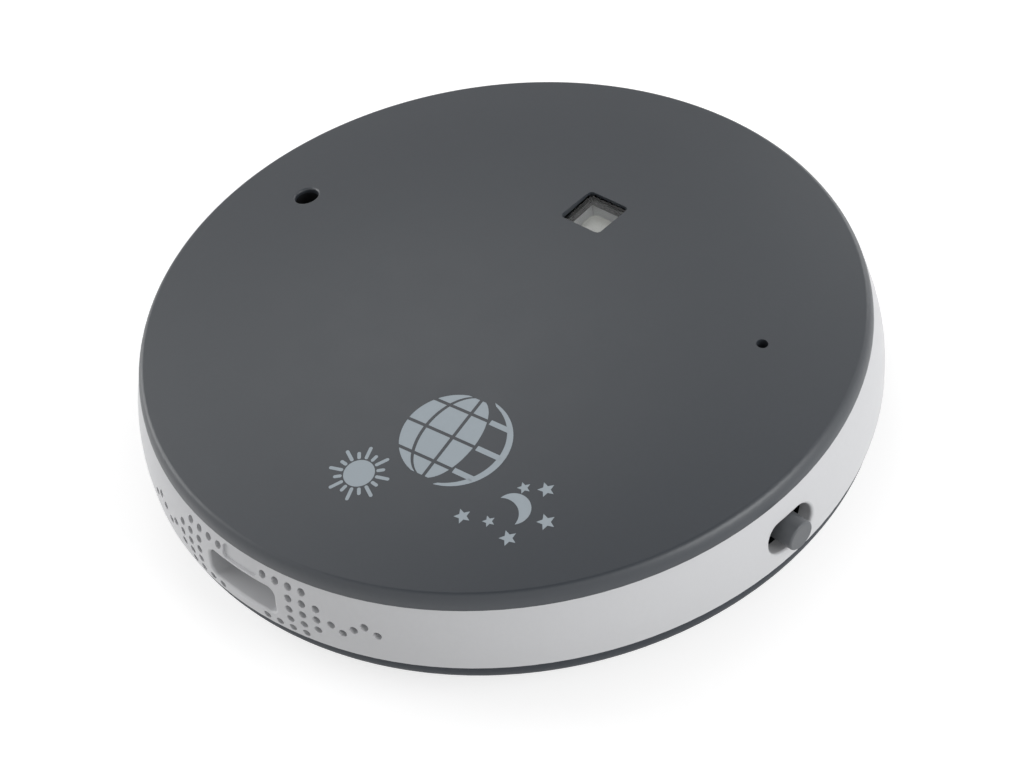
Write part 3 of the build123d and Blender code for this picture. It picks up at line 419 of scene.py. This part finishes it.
# The record's material slots, each with its builder and what that is given. The cover is rubbery
# paint: dull, with a very fine grain.
SLOTS = {
    "cover": (plastic, dict(colour=COVER_COLOUR, rough=(0.38, 0.46), grain=0.22 * MM, drift=0.04,
                            Specular_IOR_Level=0.62)),
    "housing": (plastic, dict(colour=(0.62, 0.625, 0.64), rough=(0.34, 0.42), height=0.002 * MM,
                              drift=0.015, Specular_IOR_Level=0.35)),
    "knob": (plastic, dict(colour=(0.1, 0.107, 0.116), rough=(0.4, 0.5))),
    "shutter": (plastic, dict(colour=(0.012, 0.012, 0.013), rough=(0.5, 0.62))),
    "foot_rubber": (plastic, dict(colour=(0.03, 0.03, 0.032), rough=(0.7, 0.85),
                                  height=0.012 * MM)),
    "grey_rubber": (plastic, dict(colour=(0.05, 0.05, 0.054), rough=(0.7, 0.85), height=0.01 * MM)),
    "key_rubber": (plastic, dict(colour=(0.33, 0.34, 0.36), rough=(0.6, 0.72), height=0.008 * MM)),
    "lens": (flash_window, dict(rough=(0.02, 0.06))),
    "lcd_window": (display_cover, dict(rough=(0.02, 0.06))),
    "lcd_glass": (display_cell, dict(rough=(0.3, 0.4))),
    "light_guide": (plastic, dict(colour=(0.8, 0.82, 0.8), rough=(0.2, 0.3))),
    "white_plastic": (plastic, dict(colour=(0.76, 0.77, 0.77), rough=(0.25, 0.35), drift=0.02)),
    "black_plastic": (plastic, dict(colour=(0.014, 0.014, 0.016), rough=(0.5, 0.6))),
    "bright_metal": (metal, dict(colour=(0.74, 0.74, 0.75))),
    "steel": (metal, dict(colour=(0.5, 0.5, 0.51), rough=(0.3, 0.45), stretch=(1.0, 1.0, 0.2))),
    "brass": (metal, dict(colour=(0.66, 0.45, 0.17))),
    "board": (circuit_board, dict(rough=(0.28, 0.42))),
    "chip": (plastic, dict(colour=(0.016, 0.016, 0.017), rough=(0.55, 0.7), grain=0.12 * MM)),
    "ferrite": (plastic, dict(colour=(0.03, 0.03, 0.032), rough=(0.5, 0.7), grain=0.15 * MM,
                              height=0.01 * MM)),
    "cone_film": (plastic, dict(colour=(0.02, 0.02, 0.022), rough=(0.35, 0.5))),
    "cell_sleeve": (cell_sleeve, dict(rough=(0.22, 0.34))),
    "lead_red": (plastic, dict(colour=(0.38, 0.015, 0.01), rough=(0.4, 0.5))),
    "lead_black": (plastic, dict(colour=(0.012, 0.012, 0.012), rough=(0.4, 0.5))),
    "weight": (metal, dict(colour=(0.33, 0.32, 0.3), rough=(0.4, 0.6), height=0.006 * MM)),
    "led": (emitter, dict(rough=(0.3, 0.45))),
}


def dress_nodes():
    """Every CAD node gets its slot's material by the record. The base is duller than the top."""
    made = {slot: build(slot, **given) for slot, (build, given) in SLOTS.items()}
    dull = plastic("cover_base", COVER_COLOUR, rough=(0.55, 0.65), grain=0.5 * MM, height=0.01 * MM,
                   Specular_IOR_Level=0.2)
    slots = {row["node"]: row["material_slot"] for row in frame["record"]["subparts"]}
    for name, shown in nodes.items():
        material = dull if name in ("bottom_cover", "battery_door") else made[slots[name]]
        if not shown.material_slots:
            shown.data.materials.append(material)
        for held in shown.material_slots:
            held.material = material


# Flat pieces


def outline_mesh(name, outlines, height_at, lift, depth, cell):
    """Thin plates with these outlines, in millimetres, laid on the surface that height_at gives.

    A negative lift lays them under a surface that faces down. No edge is longer than cell.
    """
    mesh = bmesh.new()
    for outline in outlines:
        corners = [mesh.verts.new((x * MM, y * MM, 0.0)) for x, y in outline]
        mesh.faces.new(corners)
    mesh.normal_update()
    bmesh.ops.triangulate(mesh, faces=mesh.faces[:])
    while True:
        long = [edge for edge in mesh.edges if edge.calc_length() > cell]
        if not long:
            break
        bmesh.ops.subdivide_edges(mesh, edges=long, cuts=1)
        mesh.normal_update()
        bmesh.ops.triangulate(mesh, faces=mesh.faces[:])
    bmesh.ops.recalc_face_normals(mesh, faces=mesh.faces[:])
    for vert in mesh.verts:
        vert.co.z = height_at(vert.co.x, vert.co.y) + lift
    for face in mesh.faces:
        if face.normal.z * lift < 0:
            face.normal_flip()
    grown = bmesh.ops.extrude_face_region(mesh, geom=mesh.faces[:], use_keep_orig=True)
    moved = [item for item in grown["geom"] if isinstance(item, bmesh.types.BMVert)]
    bmesh.ops.translate(mesh, verts=moved, vec=(0.0, 0.0, -math.copysign(depth, lift)))
    bmesh.ops.recalc_face_normals(mesh, faces=mesh.faces[:])
    data = bpy.data.meshes.new(name)
    mesh.to_mesh(data)
    mesh.free()
    made = bpy.data.objects.new(name, data)
    bpy.context.scene.collection.objects.link(made)
    return made


def polar(centre, radius, degrees):
    turn = math.radians(degrees)
    return (centre[0] + radius * math.cos(turn), centre[1] + radius * math.sin(turn))


def spread(span, steps):
    """Angles from -span to span, with this many steps on each side of the middle."""
    return [span * (n / steps - 1) for n in range(2 * steps + 1)]


def turned(points, centre, degrees):
    """The points, turned about the origin and moved to the centre."""
    cosine = math.cos(math.radians(degrees))
    sine = math.sin(math.radians(degrees))
    return [
        (centre[0] + x * cosine - y * sine, centre[1] + x * sine + y * cosine) for x, y in points
    ]


def round_disc(centre, radius, count=56):
    return [polar(centre, radius, 360 * n / count) for n in range(count)]


def round_bar(start, end, width, count=6):
    """A bar with round ends."""
    turn = math.degrees(math.atan2(end[1] - start[1], end[0] - start[0]))
    points = [polar(end, width / 2, turn - 90 + 180 * n / count) for n in range(count + 1)]
    points += [polar(start, width / 2, turn + 90 + 180 * n / count) for n in range(count + 1)]
    return points


def sun_outlines():
    outlines = [round_disc(SUN_PLACE, SUN_DISC)]
    for n in range(SUN_RAYS):
        turn = SUN_TURN + 360 * n / SUN_RAYS
        reach = SUN_RAY_SHORT if n % 2 else SUN_RAY_LONG
        start = polar(SUN_PLACE, SUN_RAY_START + SUN_RAY_WIDTH / 2, turn)
        end = polar(SUN_PLACE, reach - SUN_RAY_WIDTH / 2, turn)
        outlines.append(round_bar(start, end, SUN_RAY_WIDTH))
    return outlines


def meridian(share, y):
    """How far from the globe's middle line a meridian lies at height y."""
    return share * math.sqrt(max(0.0, GLOBE_RADIUS ** 2 - y ** 2))


def globe_cell(left, right, low, high, count=10):
    """One cell between two meridians, given as shares of the half width, and two parallels."""
    rows = [low + (high - low) * n / count for n in range(count + 1)]
    first = [(meridian(left, y) + (GLOBE_GAP / 2 if left > -1 else 0), y) for y in rows]
    second = [(meridian(right, y) - GLOBE_GAP / 2, y) for y in rows]
    pairs = [(a, b) for a, b in zip(first, second) if b[0] - a[0] > GLOBE_SLIVER]
    return [b for a, b in pairs] + [a for a, b in reversed(pairs)]


def night_edge(y):
    """Where the night side's rim has its middle at height y."""
    return NIGHT_SHIFT + math.sqrt(NIGHT_RADIUS ** 2 - y ** 2) - NIGHT_RIM / 2


def globe_outlines():
    """A globe with its grid: the day side filled, the night side only its bars and rim."""
    band = GLOBE_PARALLELS * GLOBE_RADIUS
    edges = (-GLOBE_RADIUS, -band, 0.0, band, GLOBE_RADIUS)
    outlines = []
    for low, high in zip(edges, edges[1:]):
        floor = low + (GLOBE_GAP / 2 if low > -GLOBE_RADIUS else GLOBE_SLIVER)
        ceiling = high - (GLOBE_GAP / 2 if high < GLOBE_RADIUS else GLOBE_SLIVER)
        for left, right in zip(GLOBE_MERIDIANS, GLOBE_MERIDIANS[1:]):
            outlines.append(globe_cell(left, right, floor, ceiling))
    half = NIGHT_BAR / 2
    for y in (-band, 0.0, band):
        start = meridian(GLOBE_MERIDIANS[-1], y) + GLOBE_GAP / 2
        end = night_edge(y)
        outlines.append([(start, y - half), (end, y - half), (end, y + half), (start, y + half)])
    turns = spread(NIGHT_SPAN, ARC_STEPS)
    outer = [polar((NIGHT_SHIFT, 0), NIGHT_RADIUS, turn) for turn in turns]
    inner = []
    for turn in reversed(turns[1:-1]):
        thick = NIGHT_RIM * math.cos(math.radians(turn)) ** NIGHT_TAPER
        inner.append(polar((NIGHT_SHIFT, 0), NIGHT_RADIUS - thick, turn))
    outlines.append(outer + inner)
    return [turned(outline, GLOBE_PLACE, GLOBE_TURN) for outline in outlines]


def moon_outlines():
    """A crescent: a circle less a wider one that lies behind it."""
    behind = (MOON_SHIFT ** 2 + MOON_RADIUS ** 2 - MOON_HOLLOW ** 2) / (2 * MOON_SHIFT)
    tip = math.degrees(math.acos(-behind / MOON_RADIUS))
    bite = math.degrees(math.acos((MOON_SHIFT - behind) / MOON_HOLLOW))
    outer = [polar((0, 0), MOON_RADIUS, turn) for turn in spread(tip, ARC_STEPS)]
    back = spread(bite, HOLLOW_STEPS)[1:-1]
    inner = [polar((-MOON_SHIFT, 0), MOON_HOLLOW, -turn) for turn in back]
    return [turned(outer + inner, MOON_PLACE, MOON_TURN)]


def star_outlines():
    outlines = []
    for x, y, size in STAR_PLACES:
        reaches = [size * (STAR_WAIST if n % 2 else 1) for n in range(2 * STAR_POINTS)]
        outlines.append([
            polar((x, y), reach, 180 / STAR_POINTS * n) for n, reach in enumerate(reaches)
        ])
    return outlines


def print_signs(ink):
    """The printed signs lie on the dome as the CAD mesh has it."""
    tree = BVHTree.FromObject(nodes["top_cover"], bpy.context.evaluated_depsgraph_get())
    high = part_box("top_cover")[1].z + MM

    def dome(x, y):
        return tree.ray_cast(Vector((x, y, high)), Vector((0.0, 0.0, -1.0)))[0].z

    signs = {
        "printed_sun": sun_outlines(),
        "printed_globe": globe_outlines(),
        "printed_moon": moon_outlines(),
        "printed_stars": star_outlines(),
    }
    for name, outlines in signs.items():
        sign = outline_mesh(name, outlines, dome, PRINT_LIFT, PRINT_DEPTH, PRINT_MESH)
        sign.data.materials.append(ink)
        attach(sign, "case")


def digit_outlines(mark, left):
    """The lit bars of one digit, or the colon's dots. The digit's height runs along y, upwards."""
    if mark == ":":
        return [round_disc((left, y), COLON_DOT, count=16) for y in (-COLON_RISE, COLON_RISE)]
    half = DIGIT_BAR / 2
    tall = DIGIT_HEIGHT / 2 - half
    wide = DIGIT_WIDTH - DIGIT_BAR
    ends = {
        "a": ((0, tall), (wide, tall)),
        "b": ((wide, 0), (wide, tall)),
        "c": ((wide, -tall), (wide, 0)),
        "d": ((0, -tall), (wide, -tall)),
        "e": ((0, -tall), (0, 0)),
        "f": ((0, 0), (0, tall)),
        "g": ((0, 0), (wide, 0)),
    }
    outlines = []
    for segment in SEGMENTS[mark]:
        start, end = Vector(ends[segment][0]), Vector(ends[segment][1])
        ahead = (end - start).normalized()
        side = Vector((-ahead.y, ahead.x)) * half
        first = start + ahead * DIGIT_GAP
        last = end - ahead * DIGIT_GAP
        points = [first, first + ahead * half - side, last - ahead * half - side,
                  last, last - ahead * half + side, first + ahead * half + side]
        outlines.append([(left + half + p.x + DIGIT_SLANT * p.y, p.y) for p in points])
    return outlines


def seen_from_below(outlines, middle):
    """Reads left to right from below, with its top towards -Y, the keys' far side."""
    return [[(middle[0] + x, middle[1] - y) for x, y in outline] for outline in outlines]


def display_digits(ink):
    low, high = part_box("display_glass")
    middle = ((low.x + high.x) / 2 / MM, (low.y + high.y) / 2 / MM)
    steps = sum(COLON_ROOM if mark == ":" else 1 for mark in DISPLAY_TIME)
    left = -(DIGIT_STEP * steps - (DIGIT_STEP - DIGIT_WIDTH)) / 2
    outlines = []
    for mark in DISPLAY_TIME:
        if mark == ":":
            outlines += digit_outlines(mark, left + DIGIT_STEP * COLON_INSET)
            left += DIGIT_STEP * COLON_ROOM
        else:
            outlines += digit_outlines(mark, left)
            left += DIGIT_STEP
    made = outline_mesh("display_digits", seen_from_below(outlines, middle), lambda x, y: low.z,
                        -DIGIT_LIFT, INK_DEPTH, FLAT_MESH)
    made.data.materials.append(ink)
    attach(made, "case")


def ring_of_bars(radius, width, count=20):
    """A ring as short plates, each a part of the circle."""
    outlines = []
    for n in range(count):
        first = 360 * n / count
        last = 360 * (n + 1) / count
        outlines.append([polar((0, 0), radius, first), polar((0, 0), radius, last),
                         polar((0, 0), radius - width, last), polar((0, 0), radius - width, first)])
    return outlines


def key_signs():
    """Less, more, the time and the alarm."""
    bar = MARK_BAR
    size = MARK_SIZE
    flat = round_bar((-size, 0), (size, 0), bar)
    upper = round_bar((0, bar), (0, size), bar)
    lower = round_bar((0, -bar), (0, -size), bar)
    clock = ring_of_bars(size * CLOCK_RING, bar * CLOCK_RING_BAR)
    clock.append(round_bar((0, 0), (0, size * LONG_HAND), bar * HAND_BAR))
    short = (bar * SHORT_HAND_START_BAR, 0), (size * SHORT_HAND, 0)
    clock.append(round_bar(*short, bar * HAND_BAR))
    dome = [
        polar((0, BELL_RISE), size * BELL_DOME, 180 * n / BELL_STEPS) for n in range(BELL_STEPS + 1)
    ]
    (side_x, side_y), (brim_x, brim_y) = BELL_SIDE, BELL_BRIM
    bell = dome + [(-size * side_x, -size * side_y), (-size * brim_x, -size * brim_y),
                   (size * brim_x, -size * brim_y), (size * side_x, -size * side_y)]
    clapper = round_disc((0, -size * CLAPPER_DROP), bar * CLAPPER_BAR, count=14)
    return ([flat], [flat, upper, lower], clock, [bell, clapper])


def mark_keys(ink):
    for number, outlines in enumerate(key_signs(), start=1):
        key = f"set_key_{number}"
        low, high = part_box(key)
        middle = ((low.x + high.x) / 2 / MM, (low.y + high.y) / 2 / MM)
        made = outline_mesh(f"{key}_mark", seen_from_below(outlines, middle), lambda x, y: low.z,
                            -MARK_LIFT, INK_DEPTH, FLAT_MESH)
        made.data.materials.append(ink)
        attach(made, key)


# Stage


def seen_straight(tree, path):
    """1 where the camera sees the surface itself or through something clear."""
    return combined(
        tree, "MAXIMUM", path.outputs["Is Camera Ray"], path.outputs["Is Transmission Ray"]
    )


def make_world():
    """A white surround that lights less from overhead and from high on the far side."""
    world = bpy.data.worlds.new("studio")
    bpy.context.scene.world = world
    world.use_nodes = True
    tree = world.node_tree
    tree.nodes.clear()
    source = node(tree, "ShaderNodeTexCoord")
    split = node(tree, "ShaderNodeSeparateXYZ")
    tree.links.new(source.outputs["Generated"], split.inputs["Vector"])
    away = node(tree, "ShaderNodeVectorMath", operation="DOT_PRODUCT")
    away.inputs[1].default_value = FAR_SIDE
    tree.links.new(source.outputs["Generated"], away.inputs[0])
    overhead = step(tree, split.outputs["Z"], CEILING_EDGE, CEILING_FULL)
    above = step(tree, split.outputs["Z"], BACKDROP_TOP, WALL_START)
    far = step(tree, away.outputs["Value"], FAR_EDGE, FAR_FULL)
    path = node(tree, "ShaderNodeLightPath")
    level = between(tree, path.outputs["Is Glossy Ray"], WORLD_LIGHT, 1.0)
    ceiling = between(tree, overhead, 1.0, CEILING_LIGHT_SHARE)
    wall = between(tree, combined(tree, "MULTIPLY", far, above), 1.0, FAR_LIGHT_SHARE)
    light = combined(tree, "MULTIPLY", level, combined(tree, "MULTIPLY", ceiling, wall))
    surround = node(tree, "ShaderNodeBackground")
    surround.inputs["Color"].default_value = WHITE
    strength = combined(tree, "MAXIMUM", seen_straight(tree, path), light)
    tree.links.new(strength, surround.inputs["Strength"])
    out = node(tree, "ShaderNodeOutputWorld")
    tree.links.new(surround.outputs[0], out.inputs["Surface"])


def make_floor():
    """A plain pale floor that reads as white and keeps the object's shadow."""
    half = FLOOR_SIZE / 2
    corners = [(-half, -half, 0), (half, -half, 0), (half, half, 0), (-half, half, 0)]
    data = bpy.data.meshes.new("floor")
    data.from_pydata(corners, [], [(0, 1, 2, 3)])
    floor = bpy.data.objects.new("floor", data)
    floor.location.z = -FLOOR_DROP
    bpy.context.scene.collection.objects.link(floor)
    material = bpy.data.materials.new("floor_white")
    material.use_nodes = True
    tree = material.node_tree
    tree.nodes.clear()
    dull = node(tree, "ShaderNodeBsdfDiffuse")
    dull.inputs["Color"].default_value = FLOOR_COLOUR
    path = node(tree, "ShaderNodeLightPath")
    seen = combined(tree, "MAXIMUM", seen_straight(tree, path), path.outputs["Is Glossy Ray"])
    glow = node(tree, "ShaderNodeEmission")
    tree.links.new(between(tree, seen, 0.0, FLOOR_GLOW), glow.inputs["Strength"])
    both = node(tree, "ShaderNodeAddShader")
    tree.links.new(dull.outputs[0], both.inputs[0])
    tree.links.new(glow.outputs[0], both.inputs[1])
    out = node(tree, "ShaderNodeOutputMaterial")
    tree.links.new(both.outputs[0], out.inputs["Surface"])
    data.materials.append(material)


def make_lights():
    for name, stand, power in LAMPS:
        lamp = bpy.data.lights.new(name, "AREA")
        lamp.shape = "SQUARE"
        lamp.size = LAMP_SIZE
        lamp.energy = power
        made = bpy.data.objects.new(name, lamp)
        made.location = stand
        made.rotation_mode = "QUATERNION"
        made.rotation_quaternion = (Vector(LAMP_AIM) - Vector(stand)).to_track_quat("-Z", "Y")
        bpy.context.scene.collection.objects.link(made)


def make_camera():
    back = Vector(CAMERA_BACK).normalized()
    right = Vector((0.0, 0.0, 1.0)).cross(back).normalized()
    up = back.cross(right)
    turn = Matrix((right, up, back)).transposed() @ Matrix.Rotation(CAMERA_ROLL, 3, "Z")
    lens = bpy.data.cameras.new("camera")
    lens.sensor_width = CAMERA_SENSOR
    lens.lens = CAMERA_LENS
    lens.clip_start = CAMERA_NEAR
    camera = bpy.data.objects.new("camera", lens)
    camera.matrix_world = Matrix.Translation(CAMERA_PLACE) @ turn.to_4x4()
    bpy.context.scene.collection.objects.link(camera)
    bpy.context.scene.camera = camera


make_camera()
make_world()
make_floor()
make_lights()
dress_nodes()
print_signs(plastic("sign_ink", SIGN_INK, rough=(0.5, 0.6), drift=0.03))
dark_ink = plastic("dark_ink", DARK_INK, rough=(0.3, 0.4))
display_digits(dark_ink)
mark_keys(dark_ink)

scene = bpy.context.scene
scene.view_settings.view_transform = "Standard"
bpy.context.view_layer.update()
